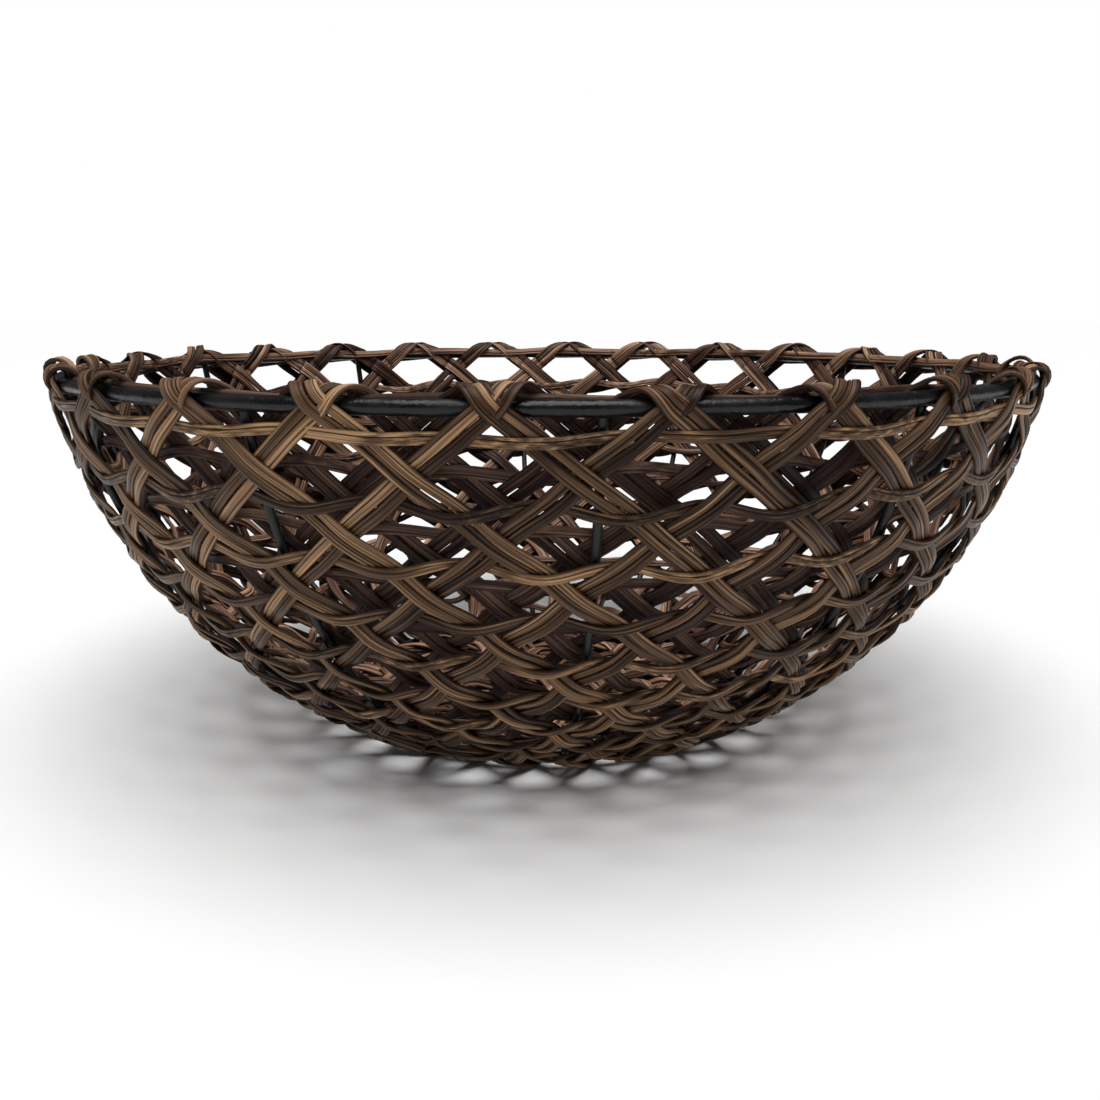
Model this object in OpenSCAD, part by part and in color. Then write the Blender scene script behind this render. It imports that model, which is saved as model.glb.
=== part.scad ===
// Woven cane fruit basket on a welded iron wire frame.
// The bowl is part of a sphere with a flat base. Its wall is two layers of open three-way
// weaving, one on each side of the iron ribs: level hoops and two families of diagonal strands.
// Millimetres, +Z up. The origin is the middle of the face that the basket rests on, and
// azimuths are measured from the front (-Y) towards +X.

/* [Bowl] */
// Radius of the rim rod's centre line
rim_r = 200; // [160:1:250]
// Angle from straight down to the rim, measured at the centre of the bowl's sphere
rim_angle = 79.5; // [66:0.5:86]
// Radius of the base ring's centre line
base_r = 90; // [75:1:110]

/* [Iron frame] */
// Diameter of the rim rod
rim_rod_d = 5; // [4:0.25:7]
// Diameter of the base ring's rod
base_rod_d = 4; // [3:0.25:6]
// Diameter of each rib
rib_d = 3; // [2:0.25:4]
// Azimuth of the first rib
first_rib = 4.4; // [0:0.1:29]
// Depth that each rib's end is welded into a ring
weld_bite = 0.2; // [0.1:0.05:0.4]

/* [Cane] */
// Width of a cane
cane_w = 3.8; // [3:0.1:4.6]
// Thickness of a cane
cane_t = 1.4; // [1:0.1:1.8]
// Bevel along the edges of the hoops, lashings and base canes
cane_bevel = 0.4; // [0.2:0.05:0.45]
// Gap between the two canes of one strand
side_gap = 0.1; // [0.05:0.05:0.5]
// Gap between one layer of canes and the next piece
layer_gap = 0.1; // [0.05:0.05:0.3]

/* [Weave] */
// Number of lashings round the rim, and of diagonal strands each way
columns = 26; // [20:2:30]
// Azimuth of the first lashing
first_column = -31.8; // [-40:0.1:0]
// How far the outer weave sits below the inner weave at the front, narrowing to none at the back
front_drop = 9; // [0:0.5:10]
// Turn of each rim lashing away from square across the rod
lash_turn = 30; // [0:1:35]
// Part of a column between a lashing's middle and the crossing beside it
lash_share = 0.167; // [0.15:0.005:0.2]
// Distance between neighbouring strands on the base
base_pitch = 18.8; // [14:0.1:24]

/* [Hidden] */
RIBS = 12;
OUTER_HOOPS = 8;
INNER_HOOPS = 9;
IRON = "#1d1e20";
OUTER_CANE = "#6b4a2c";
INNER_CANE = "#7a5744";
DEG = 180 / PI;
$fn = 96;

function two_digits(n) = n < 10 ? str("0", n) : str(n);
function rib_name(n) = str("rib_", two_digits(n));
function outer_hoop_name(n) = str("outer_hoop_", two_digits(n));
function inner_hoop_name(n) = str("inner_hoop_", two_digits(n));

// The sphere that the ribs follow
wall_r = rim_r / sin(rim_angle);
base_angle = asin(base_r / wall_r);
wall_arc = (rim_angle - base_angle) / DEG * wall_r;

// Three layers of canes under the base ring rest on z = 0
base_stack = 3 * (cane_t + layer_gap);
base_ring_z = base_stack + base_rod_d / 2;
sphere_z = base_ring_z + wall_r * cos(base_angle);
rim_z = sphere_z - wall_r * cos(rim_angle);

// Arc length of the wall from one hoop to the next: half a row is left above the base ring
row_pitch = wall_arc / (INNER_HOOPS + 0.45);
column_turn = 360 / columns;
strand_offset = (cane_w + side_gap) / 2;

// A lashing's inner face clears the rod where its edges come closest to it
lash_r = (rim_rod_d / 2 + cane_w / 2 * sin(lash_turn)) / cos(lash_turn) + layer_gap + cane_t / 2;
lash_tail = 25;
lash_spread = strand_offset / cos(lash_turn) / rim_r * DEG;
rim_cane_offset = (lash_r + cane_t / 2) * cos(lash_turn) + cane_w / 2 * sin(lash_turn)
    + layer_gap + cane_t / 2;

// The wall strands stop short of the lashings above and of the base ring and its canes below
strand_top = lash_r * sin(lash_tail) + cane_w;
outer_strand_foot = wall_arc - cane_w / 2;
inner_strand_foot = wall_arc - base_rod_d / 2 - cane_t;
outer_base_reach = base_r - base_rod_d / 2;
inner_base_reach = base_r - base_rod_d;

// Offset from the rib's centre line to the middle of cane layer 1, 2 or 3
function layer_offset(n) = rib_d / 2 + n * layer_gap + (n - 0.5) * cane_t;

// Direction from the sphere's centre at an angle from straight down and an azimuth
function sphere_dir(down, azimuth) =
    [sin(down) * sin(azimuth), -sin(down) * cos(azimuth), -cos(down)];

// Angle from straight down at an arc length below the rim
function down_angle(arc) = rim_angle - arc / wall_r * DEG;

// Arc by which the weave of a layer sits lower at an azimuth; only the outer layer drops
function drop_at(side, azimuth) = side > 0 ? front_drop * (1 + cos(azimuth)) / 2 : 0;

// Azimuth of a diagonal strand after it has passed a number of rows, counted from the rim;
// it starts at its lashing, half a row above the rim
function strand_azimuth(column, lean, rows) =
    first_column + column_turn * (column + lean * (rows + 0.5) / 2);

// Number of rows that a strand has passed when it reaches an arc length below the rim
function rows_at(side, arc, azimuth) = (arc - drop_at(side, azimuth)) / row_pitch;

function strand_dir(side, column, lean, rows) =
    let (azimuth = strand_azimuth(column, lean, rows))
    sphere_dir(down_angle(rows * row_pitch + drop_at(side, azimuth)), azimuth);

function unit(v) = v / norm(v);

// Flat section of a cane, lying across X, with bevelled edges
module flat_section() {
    w = cane_w / 2;
    t = cane_t / 2;
    b = cane_bevel;
    polygon([[w - b, -t], [w, b - t], [w, t - b], [w - b, t],
             [b - w, t], [-w, t - b], [-w, b - t], [b - w, -t]]);
}

// Ring of round rod, centred on the Z axis
module rod_ring(ring_r, rod_d) {
    rotate_extrude() translate([ring_r, 0]) circle(d = rod_d);
}

// Level hoop of cane lying flat against a sphere round the origin
module cane_hoop(sphere_r, down) {
    rotate_extrude()
        translate([sphere_r * sin(down), -sphere_r * cos(down)])
            rotate(down) flat_section();
}

// Cane that lies flat on a sphere round the origin and runs through three directions
module cane_arc(sphere_r, from, through, to, sideways) {
    pole = unit(cross(through - from, to - from));
    tilt = acos(pole.z);
    turn = atan2(pole.y, pole.x);
    from_pole = acos(from * pole) + sideways / sphere_r * DEG;
    // The start, seen with the pole turned to straight up
    level = [from * [cos(turn) * cos(tilt), sin(turn) * cos(tilt), -sin(tilt)],
             from * [-sin(turn), cos(turn), 0]];
    sweep = 2 * asin(norm(to - from) / 2 / sin(acos(from * pole)));
    rotate([0, tilt, turn])
        rotate(atan2(level.y, level.x))
            rotate_extrude(angle = sweep)
                translate([sphere_r * sin(from_pole), sphere_r * cos(from_pole)])
                    rotate(-from_pole) square([cane_w, cane_t], center = true);
}

// One family of diagonal strands on one side of the ribs. Each strand is a pair of canes: this
// draws the cane on its upper edge, nearer the rim, where edge is 1, or on its lower edge at -1.
module wall_strands(side, lean, layer, foot, edge) {
    sphere_r = wall_r + side * layer_offset(layer);
    translate([0, 0, sphere_z])
        for (column = [0:columns - 1]) {
            top_rows = rows_at(side, strand_top, strand_azimuth(column, lean, 0));
            foot_azimuth = strand_azimuth(column, lean, INNER_HOOPS);
            foot_rows = rows_at(side, foot, foot_azimuth);
            cane_arc(sphere_r,
                     strand_dir(side, column, lean, top_rows),
                     strand_dir(side, column, lean, (top_rows + foot_rows) / 2),
                     strand_dir(side, column, lean, foot_rows),
                     -edge * lean * strand_offset);
        }
}

module outer_strands(lean, edge) {
    color(OUTER_CANE) wall_strands(1, lean, lean > 0 ? 1 : 2, outer_strand_foot, edge);
}

module inner_strands(lean, edge) {
    color(INNER_CANE) wall_strands(-1, lean, lean > 0 ? 1 : 2, inner_strand_foot, edge);
}

// Lashings of one lean over the rim rod, each a pair of canes
module rim_lashings(lean) {
    for (column = [0:columns - 1], pair = [-1, 1]) {
        azimuth = first_column + column_turn * (column + lean * lash_share) + pair * lash_spread;
        rotate(azimuth)
            translate([0, -rim_r, rim_z])
                rotate(lean * lash_turn)
                    rotate([0, -90, 0])
                        rotate(-90 - lash_tail)
                            rotate_extrude(angle = 180 + 2 * lash_tail)
                                translate([lash_r, 0]) rotate(90) flat_section();
    }
}

// One direction of straight strands across the base, each a pair of canes, inside a disc.
// The strands nearest the middle lie at +-start, or one lies on the middle where start is 0.
module base_strands(direction, start, level, reach) {
    count = floor((reach - cane_w - start) / base_pitch);
    translate([0, 0, level + cane_t / 2])
        rotate(direction)
            for (side = [-1, 1], n = [0:count]) {
                offset = side * (start + n * base_pitch);
                outer_edge = abs(offset) + strand_offset + cane_w / 2;
                half_length = sqrt(reach * reach - outer_edge * outer_edge);
                if (side > 0 || offset < 0)
                    for (pair = [-strand_offset, strand_offset])
                        translate([-half_length, offset + pair, 0])
                            rotate([90, 0, 90])
                                linear_extrude(2 * half_length) flat_section();
            }
}

function outer_base_level(n) = (n - 1) * (cane_t + layer_gap);
function inner_base_level(n) = base_stack + base_rod_d + layer_gap + (n - 1) * (cane_t + layer_gap);

module rim_ring() {
    color(IRON) translate([0, 0, rim_z]) rod_ring(rim_r, rim_rod_d);
}

module base_ring() {
    color(IRON) translate([0, 0, base_ring_z]) rod_ring(base_r, base_rod_d);
}

module rib(n) {
    top = rim_angle - (rim_rod_d / 2 - weld_bite) / wall_r * DEG;
    foot = base_angle + (base_rod_d / 2 - weld_bite) / wall_r * DEG;
    color(IRON)
        translate([0, 0, sphere_z])
            rotate(first_rib + (n - 1) * 360 / RIBS)
                rotate([0, -90, 0])
                    rotate(180 + foot)
                        mirror([0, 0, 1])
                            rotate_extrude(angle = top - foot)
                                translate([wall_r, 0]) circle(d = rib_d);
}

// The outer weave tips forward about the sphere's centre, so it drops most at the front
module outer_hoop_at(offset, n) {
    tip = front_drop / 2 / wall_r * DEG;
    color(OUTER_CANE)
        translate([0, 0, sphere_z])
            rotate([tip, 0, 0])
                cane_hoop(wall_r + offset, down_angle(n * row_pitch + front_drop / 2));
}

module inner_hoop_at(offset, n) {
    color(INNER_CANE)
        translate([0, 0, sphere_z]) cane_hoop(wall_r - offset, down_angle(n * row_pitch));
}

module outer_rim_cane() outer_hoop_at(rim_cane_offset, 0);
module inner_rim_cane() inner_hoop_at(rim_cane_offset, 0);
module outer_hoop(n) outer_hoop_at(layer_offset(3), n);
module inner_hoop(n) inner_hoop_at(layer_offset(3), n);
module outer_strands_right_upper() outer_strands(1, 1);
module outer_strands_right_lower() outer_strands(1, -1);
module outer_strands_left_upper() outer_strands(-1, 1);
module outer_strands_left_lower() outer_strands(-1, -1);
module inner_strands_right_upper() inner_strands(1, 1);
module inner_strands_right_lower() inner_strands(1, -1);
module inner_strands_left_upper() inner_strands(-1, 1);
module inner_strands_left_lower() inner_strands(-1, -1);
module rim_lashings_right() color(OUTER_CANE) rim_lashings(1);
module rim_lashings_left() color(OUTER_CANE) rim_lashings(-1);

module outer_base_strands_a()
    color(OUTER_CANE) base_strands(0, 0, outer_base_level(1), outer_base_reach);
module outer_base_strands_b()
    color(OUTER_CANE) base_strands(60, 0, outer_base_level(2), outer_base_reach);
module outer_base_strands_c()
    color(OUTER_CANE) base_strands(120, base_pitch / 2, outer_base_level(3), outer_base_reach);
module inner_base_strands_a()
    color(INNER_CANE) base_strands(0, 0, inner_base_level(1), inner_base_reach);
module inner_base_strands_b()
    color(INNER_CANE) base_strands(60, 0, inner_base_level(2), inner_base_reach);
module inner_base_strands_c()
    color(INNER_CANE) base_strands(120, base_pitch / 2, inner_base_level(3), inner_base_reach);

rim_ring();
base_ring();
for (n = [1:RIBS]) rib(n);
outer_rim_cane();
inner_rim_cane();
for (n = [1:OUTER_HOOPS]) outer_hoop(n);
for (n = [1:INNER_HOOPS]) inner_hoop(n);
outer_strands_right_upper();
outer_strands_right_lower();
outer_strands_left_upper();
outer_strands_left_lower();
inner_strands_right_upper();
inner_strands_right_lower();
inner_strands_left_upper();
inner_strands_left_lower();
rim_lashings_right();
rim_lashings_left();
outer_base_strands_a();
outer_base_strands_b();
outer_base_strands_c();
inner_base_strands_a();
inner_base_strands_b();
inner_base_strands_c();
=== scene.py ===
"""Looks of the woven fruit basket: real over-and-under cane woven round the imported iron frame."""

import math

import bpy
import numpy as np
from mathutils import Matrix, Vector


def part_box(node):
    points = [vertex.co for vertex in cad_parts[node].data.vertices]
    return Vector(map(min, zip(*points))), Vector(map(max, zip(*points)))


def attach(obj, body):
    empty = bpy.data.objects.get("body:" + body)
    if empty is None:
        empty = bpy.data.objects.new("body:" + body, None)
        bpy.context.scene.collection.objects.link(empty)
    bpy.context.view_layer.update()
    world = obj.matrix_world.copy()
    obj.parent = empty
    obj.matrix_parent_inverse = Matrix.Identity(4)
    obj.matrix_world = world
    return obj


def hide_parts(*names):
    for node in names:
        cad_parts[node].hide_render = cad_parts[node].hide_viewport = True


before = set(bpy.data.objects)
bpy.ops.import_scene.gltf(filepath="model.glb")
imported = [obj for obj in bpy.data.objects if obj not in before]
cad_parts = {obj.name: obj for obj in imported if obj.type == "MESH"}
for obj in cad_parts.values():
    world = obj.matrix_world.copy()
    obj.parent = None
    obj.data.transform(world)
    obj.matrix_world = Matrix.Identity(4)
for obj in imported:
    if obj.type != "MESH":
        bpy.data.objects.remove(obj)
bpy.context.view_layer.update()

MM = 0.001
TURN = 2 * math.pi


# ---------------------------------------------------------------- dimensions, from the frame

def ring_size(node):
    """Radius of a ring's centreline, radius of its rod and height of its centre."""
    low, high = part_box(node)
    rod = (high.z - low.z) / 2
    return (high.x - low.x) / 2 - rod, rod, (high.z + low.z) / 2


RIM_R, ROD_R, RIM_Z = ring_size("rim_ring")
BASE_R, _, BASE_Z = ring_size("base_ring")
# The wall is part of a sphere through both rings
CENTRE_Z = (RIM_R**2 + RIM_Z**2 - BASE_R**2 - BASE_Z**2) / (2 * (RIM_Z - BASE_Z))
WALL_R = math.hypot(RIM_R, CENTRE_Z - RIM_Z)
RIM_ANGLE = math.acos((CENTRE_Z - RIM_Z) / WALL_R)
BASE_ANGLE = math.acos((CENTRE_Z - BASE_Z) / WALL_R)
WALL_ARC = WALL_R * (RIM_ANGLE - BASE_ANGLE)
# Distance along the bowl from its centre to the rim rod
REACH = BASE_R + WALL_ARC

# The weave: columns of knots round the rim, and rows of hoops down the wall
COLUMNS = 26
COLUMN_TURN = TURN / COLUMNS
FIRST_COLUMN = math.radians(-31.8)
OUTER_HOOPS = 8
INNER_HOOPS = 9
ROW_PITCH = WALL_ARC / (INNER_HOOPS + 0.45)
FRONT_DROP = 9 * MM
# The base: straight strands in three directions
BASE_PITCH = 18.8 * MM
BASE_SIDE = 4
BASE_DIRECTIONS = {"a": 0.0, "b": 60.0, "c": 120.0}

CANE_W = 3.9 * MM
CANE_T = 1.45 * MM
# How far below the rod the outer strands turn into the inner ones
SEAM = 6 * MM
# Length of one stretch of a swept cane
STEP = 2.4 * MM
OUTSIDE = 1
INSIDE = -1


# ---------------------------------------------------------------- the bowl's middle surface

def smooth(x):
    x = np.clip(x, 0, 1)
    return x * x * (3 - 2 * x)


def bowl_profile(ramp=8 * MM, step=0.25 * MM):
    """Radius, height and slope of the middle surface against distance from the centre along it."""
    along = np.arange(0, REACH + 15 * MM, step)
    slope = smooth((along - BASE_R + ramp) / (2 * ramp)) * (BASE_ANGLE + (along - BASE_R) / WALL_R)
    radius = np.concatenate([[0], np.cumsum(np.cos(slope[1:]) * step)])
    height = BASE_Z + np.concatenate([[0], np.cumsum(np.sin(slope[1:]) * step)])
    share = np.clip((along - BASE_R) / WALL_ARC, 0, None)
    radius += share * (RIM_R - np.interp(REACH, along, radius))
    height += share * (RIM_Z - np.interp(REACH, along, height))
    return along, radius, height, slope


PROFILE = bowl_profile()


def radial(azimuth):
    """Level unit vectors at azimuths counted from the front, towards +X."""
    return np.stack([np.sin(azimuth), -np.cos(azimuth), np.zeros_like(azimuth)], -1)


def outward(reach, azimuth):
    slope = np.interp(reach, PROFILE[0], PROFILE[3])
    normal = radial(azimuth) * np.sin(slope)[..., None]
    normal[..., 2] -= np.cos(slope)
    return normal


def on_bowl(reach, azimuth, lift):
    """Points at a distance from the centre along the bowl, and a height off its middle surface."""
    place = radial(azimuth) * np.interp(reach, PROFILE[0], PROFILE[1])[..., None]
    place[..., 2] += np.interp(reach, PROFILE[0], PROFILE[2])
    return place + outward(reach, azimuth) * lift[..., None]


def drop_at(side, azimuth):
    """How much lower the outer weave hangs, which is most at the front."""
    return FRONT_DROP * (1 + np.cos(azimuth)) / 2 * (side == OUTSIDE)


def lattice_azimuth(side, column, lean, down):
    """Azimuth of a diagonal strand at an arc length below the rim."""
    azimuth = FIRST_COLUMN + COLUMN_TURN * column + 0 * down
    for _ in range(6):
        rows = (down - drop_at(side, azimuth)) / ROW_PITCH
        azimuth = FIRST_COLUMN + COLUMN_TURN * (column + lean * (rows + 0.5) / 2)
    return azimuth


def wrapped(angle):
    return (angle + math.pi) % TURN - math.pi


# ---------------------------------------------------------------- routes of the strands

def wander(rng, size, longest=0.16):
    """A smooth irregular function of length, about as large as size."""
    waves = [(rng.uniform(0.25, 1) * longest, rng.uniform(0, TURN), rng.uniform(0.4, 1)) for _ in range(4)]
    return lambda x: size / 1.6 * sum(a * np.sin(TURN * x / w + p) for w, p, a in waves)


def base_lines():
    """Direction name, angle and offset of each strand where it crosses the base."""
    for name, angle in BASE_DIRECTIONS.items():
        # The third direction runs midway between the crossings of the other two
        shift = 0.5 if name == "c" else 0.0
        for n in np.arange(shift - BASE_SIDE, BASE_SIDE + 0.1):
            yield name, math.radians(angle), n * BASE_PITCH


def end_lean(end, offset):
    """Which way a strand leans on the wall at one of its ends."""
    return 1 if end * offset > 0 or (offset == 0 and end > 0) else -1


def line_point(angle, offset, t):
    """Distance from the centre and azimuth of a point on a straight base line."""
    x = t * math.cos(angle) - offset * math.sin(angle)
    y = t * math.sin(angle) + offset * math.cos(angle)
    return np.hypot(x, y), np.arctan2(x, -y)


# Where the base lines are matched to columns, where they start to bend and how long they bend
MEET_REACH = 112 * MM
BEND_REACH = 72 * MM
BEND_LENGTH = 78 * MM


def match_columns(side, lines):
    """Gives each end of each line the wall column that it meets with the least bending."""
    columns = {}
    for lean in (1, -1):
        ends = [(i, e) for i, (_, _, o) in enumerate(lines) for e in (1, -1) if end_lean(e, o) == lean]
        found = []
        for i, e in ends:
            _, angle, offset = lines[i]
            t = e * math.sqrt(MEET_REACH**2 - offset**2)
            found.append((float(line_point(angle, offset, np.array(t))[1]) % TURN, i, e))
        found.sort()
        places = sorted((float(lattice_azimuth(side, c, lean, np.array(REACH - MEET_REACH))) % TURN, c)
                        for c in range(COLUMNS))

        def cost(shift):
            gaps = [wrapped(found[k][0] - places[(k + shift) % COLUMNS][0]) for k in range(COLUMNS)]
            return sum(g * g for g in gaps)

        shift = min(range(COLUMNS), key=cost)
        for k, (_, i, e) in enumerate(found):
            columns[i, e] = places[(k + shift) % COLUMNS][1]
    return columns


class Strand:
    """A pair of canes from rim to rim across the base, as a line on the flattened bowl."""

    def __init__(self, side, line, ends, seed):
        self.side = side
        self.direction, self.angle, self.offset = line
        self.columns = ends
        self.leans = {end: end_lean(end, self.offset) for end in (1, -1)}
        self.rng = np.random.RandomState(seed)
        top = 0 if side == OUTSIDE else SEAM
        half = math.sqrt((REACH - top)**2 - self.offset**2)
        self.t = np.linspace(-half, half, int(2 * half / STEP) + 1)
        sway = wander(self.rng, 1.0 * MM)
        self.reach, straight = line_point(self.angle, self.offset, self.t)
        self.azimuth = straight.copy()
        for end in (1, -1):
            part = self.t * end >= 0
            lattice = lattice_azimuth(side, self.columns[end], self.leans[end], REACH - self.reach[part])
            pull = smooth((self.reach[part] - BEND_REACH) / BEND_LENGTH)
            self.azimuth[part] += pull * wrapped(lattice - straight[part])
        calm = smooth((REACH - self.reach - 12 * MM) / (25 * MM))
        self.azimuth += sway(self.t) * calm / np.maximum(self.reach, 60 * MM)
        self.flat = np.stack([self.reach * np.cos(self.azimuth), self.reach * np.sin(self.azimuth)], -1)
        self.events = []

    def lean_at(self, t):
        return self.leans[1 if t >= 0 else -1]


HOOP_WAVE = 2.0 * MM
RIM_CANE_WAVE = 0.4 * MM
INNER_WAVE_SHARE = 0.8
HOOP_LAP = 34 * MM
INNER_RIM_RISE = 0.8 * MM


class Hoop:
    """A level cane, waving where it goes over and under the diagonal strands."""

    def __init__(self, side, row, seed):
        self.side, self.row = side, row
        self.rng = np.random.RandomState(seed)
        self.start = self.rng.uniform(0.3, 0.7) * TURN
        self.wave = RIM_CANE_WAVE if row == 0 else HOOP_WAVE
        if side == INSIDE:
            self.wave *= INNER_WAVE_SHARE
        lap = HOOP_LAP / self.radius()
        self.t = np.linspace(0, TURN + lap, int((TURN + lap) * self.radius() / STEP) + 1)
        self.lap = lap
        self.azimuth = self.start + self.t
        phase = FIRST_COLUMN + side * COLUMN_TURN * (row + 0.5) / 2
        sway = wander(self.rng, 0.8 * MM, 0.25)
        gate = smooth(self.t / 0.3) * smooth((TURN + lap - self.t) / 0.3)
        self.down = (ROW_PITCH * row + drop_at(side, self.azimuth)
                     + self.wave * np.cos((self.azimuth - phase) / COLUMN_TURN * TURN)
                     + sway(self.t * self.radius()) * gate)
        if row == 0:
            self.down -= (INNER_RIM_RISE if side == INSIDE else 0.18 * drop_at(side, self.azimuth))
        self.reach = REACH - self.down
        self.flat = np.stack([self.reach * np.cos(self.azimuth), self.reach * np.sin(self.azimuth)], -1)
        self.events = []

    def radius(self):
        return float(np.interp(REACH - ROW_PITCH * self.row, PROFILE[0], PROFILE[1]))


def crossings(a, b):
    """Where two flat lines cross: the parameter on each."""
    p, q = a.flat[:-1], b.flat[:-1]
    r, s = np.diff(a.flat, axis=0), np.diff(b.flat, axis=0)
    across = r[:, None, 0] * s[None, :, 1] - r[:, None, 1] * s[None, :, 0]
    gap = q[None] - p[:, None]
    with np.errstate(divide="ignore", invalid="ignore"):
        u = (gap[..., 0] * s[None, :, 1] - gap[..., 1] * s[None, :, 0]) / across
        v = (gap[..., 0] * r[:, None, 1] - gap[..., 1] * r[:, None, 0]) / across
    hits = np.argwhere((u >= 0) & (u < 1) & (v >= 0) & (v < 1))
    return [(a.t[i] + u[i, j] * (a.t[i + 1] - a.t[i]), b.t[j] + v[i, j] * (b.t[j + 1] - b.t[j]), a.reach[i])
            for i, j in hits]


def weave_pair(a, b):
    """Records which of two strands lies over the other at each place where they cross."""
    order = {"ab": 1, "bc": 1, "ca": 1, "ba": -1, "cb": -1, "ac": -1}
    for ta, tb, reach in crossings(a, b):
        lean_a, lean_b = a.lean_at(ta), b.lean_at(tb)
        if reach > BASE_R + 4 * MM and lean_a != lean_b:
            over = lean_a * a.side
        else:
            over = order.get(a.direction + b.direction, 1)
        a.events.append((ta, over))
        b.events.append((tb, -over))


def weave_hoop(hoop, strand):
    for th, ts, _ in crossings(hoop, strand):
        over = strand.lean_at(ts) * hoop.side
        hoop.events.append((th, over))
        strand.events.append((ts, -over))


# Crossings nearer than this to the rod, or to the rim cane, give way to the rim's own
NEAR_ROD = 7 * MM
NEAR_RIM_CANE = 4.5 * MM
# Drops at which the rim cane hangs clear of the rod, and is a crossing of its own
CLEAR_DROP = 6 * MM
LEAST_DROP = 1.5 * MM


def rim_events(strand):
    """Ends of an outer or inner strand at the rim, where the rim cane crosses it."""
    for end in (1, -1):
        over_rim_cane = -strand.leans[end] * strand.side
        t_rim = end * math.sqrt(REACH**2 - strand.offset**2)
        strand.events = [(t, o) for t, o in strand.events if abs(t - t_rim) > NEAR_ROD]
        if strand.side == INSIDE:
            strand.events.append((t_rim, over_rim_cane))
            continue
        drop = float(drop_at(OUTSIDE, strand.azimuth[-1 if end > 0 else 0]))
        hang = float(smooth(drop / CLEAR_DROP))
        strand.events.append((t_rim, over_rim_cane * (1 - hang) - hang))
        if drop > LEAST_DROP:
            t_cane = end * math.sqrt((REACH - drop)**2 - strand.offset**2)
            strand.events = [(t, o) for t, o in strand.events
                             if t == t_rim or abs(t - t_cane) > NEAR_RIM_CANE]
            strand.events.append((t_cane, over_rim_cane))


def over_under(item, t):
    """-1 where the cane lies nearest the frame, 1 where it lies furthest off, smooth between."""
    events = sorted(item.events)
    times = np.array([e[0] for e in events])
    signs = np.array([e[1] for e in events], float)
    k = np.clip(np.searchsorted(times, t), 1, len(times) - 1)
    share = np.clip((t - times[k - 1]) / np.maximum(times[k] - times[k - 1], 1e-6), 0, 1)
    return signs[k - 1] + (signs[k] - signs[k - 1]) * (1 - np.cos(math.pi * share)) / 2


# Heights off the middle surface
WALL_LIFT = 3.75 * MM
BASE_LIFT = 3.85 * MM
ROD_LIFT = ROD_R + 1.25 * MM
TOP_SWING = 0.8 * MM
LOW_SWING = 1.2 * MM


def mean_lift(reach):
    down = REACH - reach
    return (WALL_LIFT + (ROD_LIFT - WALL_LIFT) * (1 - smooth(down / (9 * MM)))
            + (BASE_LIFT - WALL_LIFT) * (1 - smooth((reach - BASE_R - 10 * MM) / (30 * MM))))


def swing(reach):
    rows = (REACH - reach) / ROW_PITCH
    return TOP_SWING + (LOW_SWING - TOP_SWING) * smooth((rows - 1.5) / 3)


def pair_spread(reach):
    """How far each cane of a pair lies to the side of the pair's middle line."""
    rows = (REACH - reach) / ROW_PITCH
    low = 1.25 + (1.75 - 1.25) * (1 - smooth((reach - 60 * MM) / (50 * MM)))
    return (2.0 + (low - 2.0) * smooth((rows - 2.2) / 2.6)) * MM


def pair_tilt(reach):
    """How far one cane of a pair rides up on the other."""
    rows = (REACH - reach) / ROW_PITCH
    return 0.5 * MM * smooth((rows - 2.2) / 2.6)


# ---------------------------------------------------------------- canes as meshes

GROOVE = 0.33


def cane_section(hand):
    """Section in half widths and half thicknesses: a crowned face with a deep groove to one hand
    and a shallow one to the other, and a flatter back."""
    left, right = (0.55, 0.14) if hand < 0 else (0.14, 0.55)
    return np.array([(-0.84, 0.68), (-0.52, 0.96), (-GROOVE, 0.98 - left), (-0.15, 1.04), (0.15, 1.04),
                     (GROOVE, 0.98 - right), (0.52, 0.96), (0.84, 0.68), (1.0, 0.05),
                     (0.84, -0.78), (0.3, -1.0), (-0.3, -1.0), (-0.84, -0.78), (-1.0, 0.05)])


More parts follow.
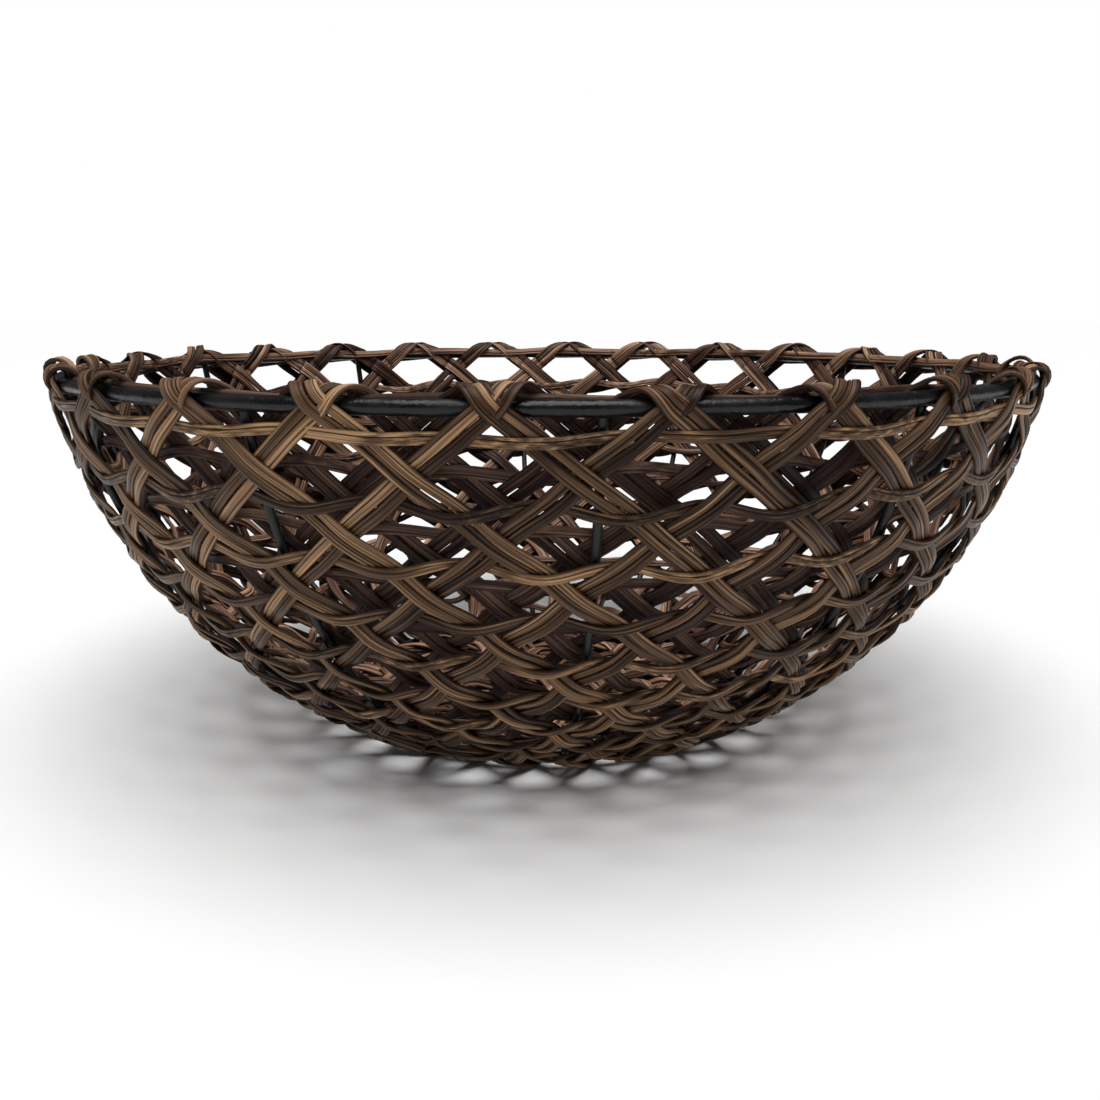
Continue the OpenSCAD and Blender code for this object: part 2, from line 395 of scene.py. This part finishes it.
class CaneMesh:
    """Collects swept canes, then makes them one object."""

    def __init__(self):
        self.points, self.faces, self.strip, self.side = [], [], [], []
        self.count = 0

    def sweep(self, path, up, width, thick, roll, tone, inside):
        """A cane along path whose crowned face looks along up."""
        ahead = np.gradient(path, axis=0)
        step = np.linalg.norm(ahead, axis=1)
        ahead /= step[:, None]
        up = up - ahead * (up * ahead).sum(1)[:, None]
        up /= np.linalg.norm(up, axis=1)[:, None]
        across = np.cross(ahead, up)
        c, s = np.cos(roll)[:, None], np.sin(roll)[:, None]
        across, up = across * c + up * s, up * c - across * s
        hand = 1 if chance(self.count, 3) < 0.5 else -1
        section = cane_section(hand)
        n, m = len(path), len(section)
        points = (path[:, None]
                  + across[:, None] * (section[:, 0] * 0.5)[None, :, None] * width[:, None, None]
                  + up[:, None] * (section[:, 1] * 0.5)[None, :, None] * thick[:, None, None])
        length = np.cumsum(step) - step[0]
        strip = np.zeros((n, m, 3))
        strip[..., 0] = section[:, 0]
        strip[..., 1] = length[:, None]
        strip[..., 2] = tone[:, None]
        ring = np.arange(n - 1)[:, None] * m + np.arange(m)[None]
        turn = np.arange(n - 1)[:, None] * m + (np.arange(m)[None] + 1) % m
        quads = np.stack([ring, ring + m, turn + m, turn], -1).reshape(-1, 4) + self.count
        self.faces.extend(quads.tolist())
        self.faces.append((np.arange(m) + self.count).tolist())
        self.faces.append((np.arange(m)[::-1] + (n - 1) * m + self.count).tolist())
        self.points.append(points.reshape(-1, 3))
        self.strip.append(strip.reshape(-1, 3))
        side = np.zeros((n, m, 3))
        side[..., 0] = inside[:, None]
        # Marks the back of the section, where the cane material paints shade
        side[..., 1] = section[:, 1] < -0.5
        side[..., 2] = hand
        self.side.append(side.reshape(-1, 3))
        self.count += n * m

    def make(self, name, material, slot, *nodes):
        mesh = bpy.data.meshes.new(name)
        mesh.from_pydata(np.concatenate(self.points).tolist(), [], self.faces)
        for label, values in (("strip", self.strip), ("side", self.side)):
            attribute = mesh.attributes.new(label, "FLOAT_VECTOR", "POINT")
            attribute.data.foreach_set("vector", np.concatenate(values).astype(np.float32).ravel())
        mesh.polygons.foreach_set("use_smooth", [len(face) == 4 for face in self.faces])
        mesh.materials.append(material)
        mesh.update()
        piece = bpy.data.objects.new(name, mesh)
        bpy.context.scene.collection.objects.link(piece)
        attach(piece, "root")
        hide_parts(*nodes)
        return piece


def chance(*keys):
    """A repeatable number from 0 to 1 for a cane's place in the weave."""
    seed = sum((int(k) + 101) * p for k, p in zip(keys, (7919, 104729, 1299709, 15485863)))
    return np.random.RandomState(seed % 2**31).uniform()


def knot_over(column):
    """Which lean of outer strand crosses over the other at the knot of a column."""
    return 1 if chance(column, 5) < 0.7 else -1


def knot_lift(column, lean, azimuth, height=1.0 * MM):
    """Extra height of the strand that crosses over the other at its knot on the rim."""
    if knot_over(column) != lean:
        return 0 * azimuth
    away = wrapped(azimuth - FIRST_COLUMN - COLUMN_TURN * column) / COLUMN_TURN
    return height * np.exp(-(away / 0.15)**2)


def over_rim(column, lean, start_lift, end_lift, points=15):
    """Path and facing of a strand over the rim rod, from outside at the rod to inside at the seam."""
    turn = np.linspace(0, math.pi, points)[1:-1]
    start = float(lattice_azimuth(OUTSIDE, column, lean, np.array(0.0)))
    end = float(lattice_azimuth(INSIDE, column, -lean, np.array(0.0)))
    start += TURN * round((end - start) / TURN)
    slope = -lean * COLUMN_TURN / (2 * ROW_PITCH) * math.pi * ROD_LIFT
    share = turn / math.pi
    azimuth = (start * (2 * share**3 - 3 * share**2 + 1) + slope * (share**3 - 2 * share**2 + share)
               + end * (3 * share**2 - 2 * share**3) + slope * (share**3 - share**2))
    top = ROD_R + ((2.1 if lean > 0 else 2.9) + 1.4 * chance(column, lean, 7)) * MM
    sides = np.where(turn < math.pi / 2, start_lift, end_lift)
    away = sides * np.cos(turn)**2 + top * np.sin(turn)**2
    away = away + knot_lift(column, lean, azimuth) * np.sin(turn)**0.5
    up = outward(np.full_like(turn, REACH), azimuth)
    rise = np.cross(np.cross(up, [0, 0, 1.0]), up)
    rise /= np.linalg.norm(rise, axis=1)[:, None]
    rod = radial(azimuth) * RIM_R + np.array([0, 0, RIM_Z])
    facing = up * np.cos(turn)[:, None] + rise * np.sin(turn)[:, None]
    return rod + facing * away[:, None], facing


def rim_lift(lean, down):
    """Height inside the rim, where an inner strand comes down from the rod to its first crossing."""
    share = np.clip(down / (ROW_PITCH / 2), 0, 1)
    sign = lean * np.cos(math.pi * share)
    reach = REACH - down
    return mean_lift(reach) + swing(reach) * sign


def strand_canes(strand, mesh):
    """Both canes of a strand, outside with its runs over the rim down to the seam inside."""
    side = strand.side
    lift = mean_lift(strand.reach) + swing(strand.reach) * over_under(strand, strand.t)
    rod_lifts = {1: lift[-1], -1: lift[0]}
    if side == OUTSIDE:
        for end in (1, -1):
            near = (strand.t * end > 0) & (strand.reach > REACH - 14 * MM)
            extra = knot_lift(strand.columns[end], strand.leans[end], strand.azimuth[near])
            lift[near] += extra * smooth(1 - (REACH - strand.reach[near]) / (14 * MM))
    path = on_bowl(strand.reach, strand.azimuth, side * lift)
    facing = side * outward(strand.reach, strand.azimuth)
    reach = strand.reach
    inside = np.full(len(path), 0.0 if side == OUTSIDE else 1.0)
    seam_fade = smooth((REACH - reach - SEAM) / (14 * MM)) if side == INSIDE else np.ones(len(path))
    if side == OUTSIDE:
        for end in (1, -1):
            column, lean = strand.columns[end], strand.leans[end]
            wrap, wrap_up = over_rim(column, lean, rod_lifts[end], float(rim_lift(-lean, np.array(0.0))))
            down = np.linspace(0, SEAM, 4)
            azimuth = lattice_azimuth(INSIDE, column, -lean, down)
            tail = on_bowl(REACH - down, azimuth, -rim_lift(-lean, down))
            tail_up = -outward(REACH - down, azimuth)
            extra, extra_up = np.concatenate([wrap, tail]), np.concatenate([wrap_up, tail_up])
            extra_reach = np.concatenate([np.full(len(wrap), REACH), REACH - down])
            extra_inside = np.concatenate([smooth(np.linspace(0, 1, len(wrap))), np.ones(len(tail))])
            extra_fade = np.concatenate([np.linspace(1, 0, len(wrap)), np.zeros(len(tail))])
            order = slice(None) if end > 0 else slice(None, None, -1)
            parts = [(path, extra), (facing, extra_up), (reach, extra_reach), (inside, extra_inside),
                     (seam_fade, extra_fade)]
            path, facing, reach, inside, seam_fade = [
                np.concatenate([old, new] if end > 0 else [new[order], old]) for old, new in parts]
    ahead = np.gradient(path, axis=0)
    ahead /= np.linalg.norm(ahead, axis=1)[:, None]
    across = np.cross(ahead, facing)
    across /= np.linalg.norm(across, axis=1)[:, None]
    length = np.cumsum(np.linalg.norm(np.gradient(path, axis=0), axis=1))
    share = smooth(length / length[-1] * 1.6 - 0.3)
    rides_up = 1 if strand.rng.uniform() < 0.5 else -1
    for hand in (1, -1):
        sideways = wander(strand.rng, 0.28 * MM, 0.09)(length) * seam_fade
        lifted = hand * rides_up * pair_tilt(reach) * seam_fade
        noise = wander(strand.rng, 0.12 * MM, 0.06)(length) * seam_fade
        spread = hand * pair_spread(reach) + sideways
        cane = path + across * spread[:, None] + facing * (lifted + noise)[:, None]
        width = CANE_W * (1 + seam_fade * wander(strand.rng, 0.07, 0.2)(length))
        thick = CANE_T * (1 + seam_fade * wander(strand.rng, 0.08, 0.15)(length))
        roll = seam_fade * (wander(strand.rng, 0.12, 0.07)(length) + hand * 0.05)
        tones = {}
        for end in (1, -1):
            azimuth_hand = hand * end * side
            outer_lean = strand.leans[end] * side
            tones[end] = chance(strand.columns[end], outer_lean, azimuth_hand)
        tone = tones[-1] + (tones[1] - tones[-1]) * share
        mesh.sweep(cane, facing, width, thick, roll, tone, inside)


def hoop_cane(hoop, mesh):
    side = hoop.side
    lift = mean_lift(hoop.reach) + swing(hoop.reach) * over_under(hoop, hoop.t)
    ends = smooth(1 - hoop.t / hoop.lap) - smooth((hoop.t - TURN) / hoop.lap)
    lift = lift - 0.55 * CANE_T * ends
    lift += wander(hoop.rng, 0.1 * MM, 0.08)(hoop.t * hoop.radius()) * np.sin(hoop.t / 2)**2
    path = on_bowl(hoop.reach, hoop.azimuth, side * lift)
    facing = side * outward(hoop.reach, hoop.azimuth)
    length = hoop.t * hoop.radius()
    taper = 1 - 0.35 * (smooth(1 - length / (6 * MM)) + smooth(1 - (length[-1] - length) / (6 * MM)))
    width = CANE_W * (1.0 + wander(hoop.rng, 0.06, 0.2)(length)) * taper
    thick = CANE_T * (1.05 + wander(hoop.rng, 0.06, 0.15)(length)) * taper
    roll = wander(hoop.rng, 0.14, 0.08)(length)
    tone = np.clip(chance(hoop.row, side, 9) + wander(hoop.rng, 0.25, 0.5)(length), 0, 1)
    mesh.sweep(path, facing, width, thick, roll, tone, np.full(len(path), float(side == INSIDE)))


# ---------------------------------------------------------------- materials

class Nodes:
    """A small helper that adds and links shader nodes."""

    def __init__(self, name):
        self.material = bpy.data.materials.new(name)
        self.material.use_nodes = True
        self.tree = self.material.node_tree
        self.shader = self.tree.nodes["Principled BSDF"]

    def add(self, kind, inputs=None, **settings):
        node = self.tree.nodes.new(kind)
        for key, value in settings.items():
            setattr(node, key, value)
        for key, value in (inputs or {}).items():
            self.put(node.inputs[key], value)
        return node

    def put(self, socket, value):
        if isinstance(value, bpy.types.NodeSocket):
            self.tree.links.new(value, socket)
        else:
            socket.default_value = value

    def math(self, operation, a, b=0.0):
        return self.add("ShaderNodeMath", {0: a, 1: b}, operation=operation).outputs[0]

    def band(self, value, low, high, at_low=0.0, at_high=1.0):
        """value's place between low and high, as a smooth step."""
        inputs = {"Value": value, "From Min": low, "From Max": high, "To Min": at_low, "To Max": at_high}
        return self.add("ShaderNodeMapRange", inputs, interpolation_type="SMOOTHSTEP").outputs["Result"]

    def mix(self, share, a, b, how="MIX"):
        node = self.add("ShaderNodeMix", data_type="RGBA", blend_type=how)
        self.put(node.inputs["Factor"], share)
        self.put(node.inputs["A"], a)
        self.put(node.inputs["B"], b)
        return node.outputs["Result"]

    def noise(self, place, scale, detail=2.0, rough=0.5):
        inputs = {"Vector": place, "Scale": scale, "Detail": detail, "Roughness": rough}
        return self.add("ShaderNodeTexNoise", inputs).outputs["Fac"]

    def place(self, x, y, z):
        return self.add("ShaderNodeCombineXYZ", {"X": x, "Y": y, "Z": z}).outputs[0]


def colour(r, g, b):
    return (r, g, b, 1.0)


def cane_material(name):
    """Stained split cane: long fibres, pale rubbed ridges and patchy lacquer, with painted shade darkening
    the grooves, the edges and the back of each cane.
    """
    n = Nodes(name)
    strip = n.add("ShaderNodeAttribute", attribute_name="strip").outputs["Vector"]
    side = n.add("ShaderNodeAttribute", attribute_name="side").outputs["Vector"]
    side = n.add("ShaderNodeSeparateXYZ", {0: side}).outputs
    inside, back, hand = side[0], side[1], side[2]
    split = n.add("ShaderNodeSeparateXYZ", {0: strip}).outputs
    across, along, tone = split[0], split[1], split[2]
    shift = n.math("MULTIPLY", tone, 37.0)

    def streaks(width, length, detail, rough=0.5):
        """Noise drawn out along the cane; width and length are how often it changes."""
        place = n.place(n.math("MULTIPLY", across, width), n.math("MULTIPLY", along, length), shift)
        return n.noise(place, 1.0, detail, rough)

    bands = streaks(1.5, 14.0, 2.0)
    fibres = streaks(5.0, 22.0, 4.0, 0.6)
    threads = streaks(14.0, 40.0, 3.0)
    patches = streaks(0.4, 30.0, 3.0)
    blotch = n.noise(n.add("ShaderNodeTexCoord").outputs["Object"], 22.0, 3.0)
    wavering = n.math("ADD", across, n.math("MULTIPLY", n.math("SUBTRACT", fibres, 0.5), 0.16))
    handed = n.math("MULTIPLY", wavering, hand)
    # Masks of the grooves and of the side edges, which get painted shade below
    deep = n.band(n.math("ABSOLUTE", n.math("SUBTRACT", handed, GROOVE)), 0.03, 0.17, 1.0, 0.0)
    shallow = n.band(n.math("ABSOLUTE", n.math("ADD", handed, GROOVE)), 0.02, 0.10, 0.7, 0.0)
    groove = n.math("MAXIMUM", deep, n.math("MULTIPLY", shallow, n.band(bands, 0.42, 0.58)))
    edge = n.band(n.math("ABSOLUTE", across), 0.76, 0.98)

    dark = n.mix(inside, colour(0.015, 0.005, 0.002), colour(0.020, 0.006, 0.005))
    mid = n.mix(inside, colour(0.086, 0.044, 0.021), colour(0.130, 0.064, 0.040))
    light = n.mix(inside, colour(0.450, 0.265, 0.135), colour(0.560, 0.340, 0.220))
    level = n.math("ADD", n.math("MULTIPLY", fibres, 0.7), n.math("MULTIPLY", bands, 1.1))
    level = n.math("ADD", level, n.math("MULTIPLY", tone, 0.40))
    level = n.math("ADD", level, n.math("MULTIPLY", blotch, 0.3))
    stain_and_painted_shade = n.mix(n.band(level, 1.00, 1.24), dark, mid)
    stain_and_painted_shade = n.mix(n.band(level, 1.22, 1.62), stain_and_painted_shade, light)
    stain_and_painted_shade = n.mix(n.band(threads, 0.46, 0.30, 0.0, 0.7), stain_and_painted_shade, dark)
    stain_and_painted_shade = n.mix(n.band(threads, 0.58, 0.72, 0.0, 0.4), stain_and_painted_shade, light)
    # Painted shade: the back of each cane is darkened towards a near-black brown, as shadow between the
    # layers
    stain_and_painted_shade = n.mix(n.math("MULTIPLY", back, 0.72), stain_and_painted_shade, colour(0.020, 0.008, 0.008))
    # Painted shade: the grooves and the side edges of each cane are darkened to near black
    painted_crease_shade = n.math("MAXIMUM", n.math("MULTIPLY", groove, 0.88), n.math("MULTIPLY", edge, 0.7))
    stain_and_painted_shade = n.mix(painted_crease_shade, stain_and_painted_shade, colour(0.004, 0.002, 0.001))
    n.put(n.shader.inputs["Base Color"], stain_and_painted_shade)
    gloss = n.math("ADD", n.band(patches, 0.3, 0.7, 0.30, 0.46), n.math("MULTIPLY", inside, 0.08))
    n.put(n.shader.inputs["Roughness"], n.math("ADD", gloss, n.math("MULTIPLY", painted_crease_shade, 0.3)))
    n.shader.inputs["Specular IOR Level"].default_value = 0.16
    relief = n.math("ADD", n.math("MULTIPLY", fibres, 0.6), n.math("MULTIPLY", threads, 0.4))
    bump = n.add("ShaderNodeBump", {"Strength": 0.6, "Distance": 0.4 * MM, "Height": relief})
    n.put(n.shader.inputs["Normal"], bump.outputs[0])
    return n.material


def iron_material(name, wear):
    """Black painted iron: brushed lumps, satin patches and small worn places."""
    n = Nodes(name)
    place = n.add("ShaderNodeTexCoord").outputs["Object"]
    lumps = n.noise(place, 260.0, 4.0, 0.6)
    patches = n.noise(place, 60.0, 3.0)
    chips = n.band(n.noise(place, 420.0, 5.0, 0.7), 0.62, 0.70)
    paint = n.mix(n.band(patches, 0.35, 0.7), colour(0.003, 0.003, 0.0035), colour(0.009, 0.009, 0.010))
    paint = n.mix(n.math("MULTIPLY", chips, wear), paint, colour(0.05, 0.036, 0.028))
    n.put(n.shader.inputs["Base Color"], paint)
    n.put(n.shader.inputs["Roughness"], n.band(patches, 0.3, 0.7, 0.2, 0.42))
    n.shader.inputs["Specular IOR Level"].default_value = 0.3
    bump = n.add("ShaderNodeBump", {"Strength": 0.9, "Distance": 0.5 * MM, "Height": lumps})
    n.put(n.shader.inputs["Normal"], bump.outputs[0])
    return n.material


FLOOR_TONE = 0.88


def floor_material():
    n = Nodes("pale_floor")
    place = n.add("ShaderNodeTexCoord").outputs["Object"]
    n.put(n.shader.inputs["Base Color"],
          n.mix(n.noise(place, 3.0), colour(FLOOR_TONE, FLOOR_TONE, FLOOR_TONE),
                colour(FLOOR_TONE + 0.02, FLOOR_TONE + 0.02, FLOOR_TONE + 0.02)))
    n.shader.inputs["Roughness"].default_value = 0.85
    return n.material


# ---------------------------------------------------------------- the basket

def make_weave(side):
    lines = list(base_lines())
    columns = match_columns(side, lines)
    strands = [Strand(side, line, {e: columns[i, e] for e in (1, -1)}, 1000 + 50 * side + i)
               for i, line in enumerate(lines)]
    rows = OUTER_HOOPS if side == OUTSIDE else INNER_HOOPS
    hoops = [Hoop(side, row, 3000 + 50 * side + row) for row in range(rows + 1)]
    for i, a in enumerate(strands):
        for b in strands[i + 1:]:
            weave_pair(a, b)
    for hoop in hoops:
        if hoop.row > 0:
            for strand in strands:
                weave_hoop(hoop, strand)
    for strand in strands:
        rim_events(strand)
    rim = hoops[0]
    for column in range(COLUMNS):
        for lean in (1, -1):
            azimuth = FIRST_COLUMN + COLUMN_TURN * (column + lean * 0.25)
            for place in (azimuth - TURN, azimuth, azimuth + TURN, azimuth + 2 * TURN):
                if -0.2 < place - rim.start < TURN + rim.lap + 0.2:
                    rim.events.append((place - rim.start, lean * side))
    return strands, hoops


def make_canes(side, material):
    word = "outer" if side == OUTSIDE else "inner"
    strands, hoops = make_weave(side)
    walls = [f"{word}_strands_{lean}_{edge}" for lean in ("right", "left") for edge in ("upper", "lower")]
    over = ["rim_lashings_right", "rim_lashings_left"] if side == OUTSIDE else []
    for direction in BASE_DIRECTIONS:
        mesh = CaneMesh()
        for strand in strands:
            if strand.direction == direction:
                strand_canes(strand, mesh)
        mesh.make(f"{word}_runs_{direction}", material, f"cane_{word}",
                  f"{word}_base_strands_{direction}", *walls, *over)
    for hoop in hoops:
        node = f"{word}_hoop_{hoop.row:02d}" if hoop.row else f"{word}_rim_cane"
        mesh = CaneMesh()
        hoop_cane(hoop, mesh)
        name = node.replace("hoop", "band").replace("rim_cane", "rim_band")
        mesh.make(name, material, f"cane_{word}", node)


def paint_iron():
    rim, wire = iron_material("rim_iron_paint", 0.8), iron_material("frame_iron_paint", 0.5)
    for name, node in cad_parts.items():
        if name == "rim_ring" or name == "base_ring" or name.startswith("rib_"):
            paint = rim if name == "rim_ring" else wire
            node.data.materials.clear()
            node.data.materials.append(paint)
            for face in node.data.polygons:
                face.use_smooth = True


# ---------------------------------------------------------------- studio and camera

FLOOR_SIZE = 40
FILL = 0.12
SUN_TILT = math.radians(14)
SUN_SPREAD = math.radians(60)
# Light on the floor as a share of what makes it as pale as the backdrop
FLOOR_LIGHT = 1.045
# Camera, back from the bowl's axis and up from the rim rod
CAMERA_BACK = 0.4902
CAMERA_RISE = 0.0251
CAMERA_PITCH = math.radians(90 - 12.41)


def make_stage():
    bpy.ops.mesh.primitive_plane_add(size=FLOOR_SIZE)
    floor = bpy.context.object
    floor.name = "floor"
    floor.data.materials.append(floor_material())
    world = bpy.data.worlds.new("studio")
    world.use_nodes = True
    tree = world.node_tree
    ray = tree.nodes.new("ShaderNodeLightPath")
    level = tree.nodes.new("ShaderNodeMapRange")
    level.inputs["To Min"].default_value = FILL
    level.inputs["To Max"].default_value = 1.0
    tree.links.new(ray.outputs["Is Camera Ray"], level.inputs["Value"])
    tree.nodes["Background"].inputs["Color"].default_value = colour(1.0, 1.0, 1.0)
    tree.links.new(level.outputs["Result"], tree.nodes["Background"].inputs["Strength"])
    bpy.context.scene.world = world
    bpy.context.scene.view_settings.view_transform = "Standard"
    lamp = bpy.data.lights.new("soft_sun", "SUN")
    lamp.angle = SUN_SPREAD
    lamp.energy = (FLOOR_LIGHT / FLOOR_TONE - FILL) * math.pi / math.cos(SUN_TILT)
    sun = bpy.data.objects.new("soft_sun", lamp)
    sun.rotation_euler = (SUN_TILT, 0, 0)
    bpy.context.scene.collection.objects.link(sun)


def make_camera():
    camera = bpy.data.cameras.new("camera")
    camera.sensor_width = 36.0
    camera.lens = 35.31
    camera.shift_x = 0.0035
    holder = bpy.data.objects.new("camera", camera)
    bpy.context.scene.collection.objects.link(holder)
    holder.location = (0, -CAMERA_BACK, RIM_Z + CAMERA_RISE)
    holder.rotation_euler = (CAMERA_PITCH, 0, 0)
    bpy.context.scene.camera = holder


make_canes(OUTSIDE, cane_material("outer_cane"))
make_canes(INSIDE, cane_material("inner_cane"))
paint_iron()
make_stage()
make_camera()
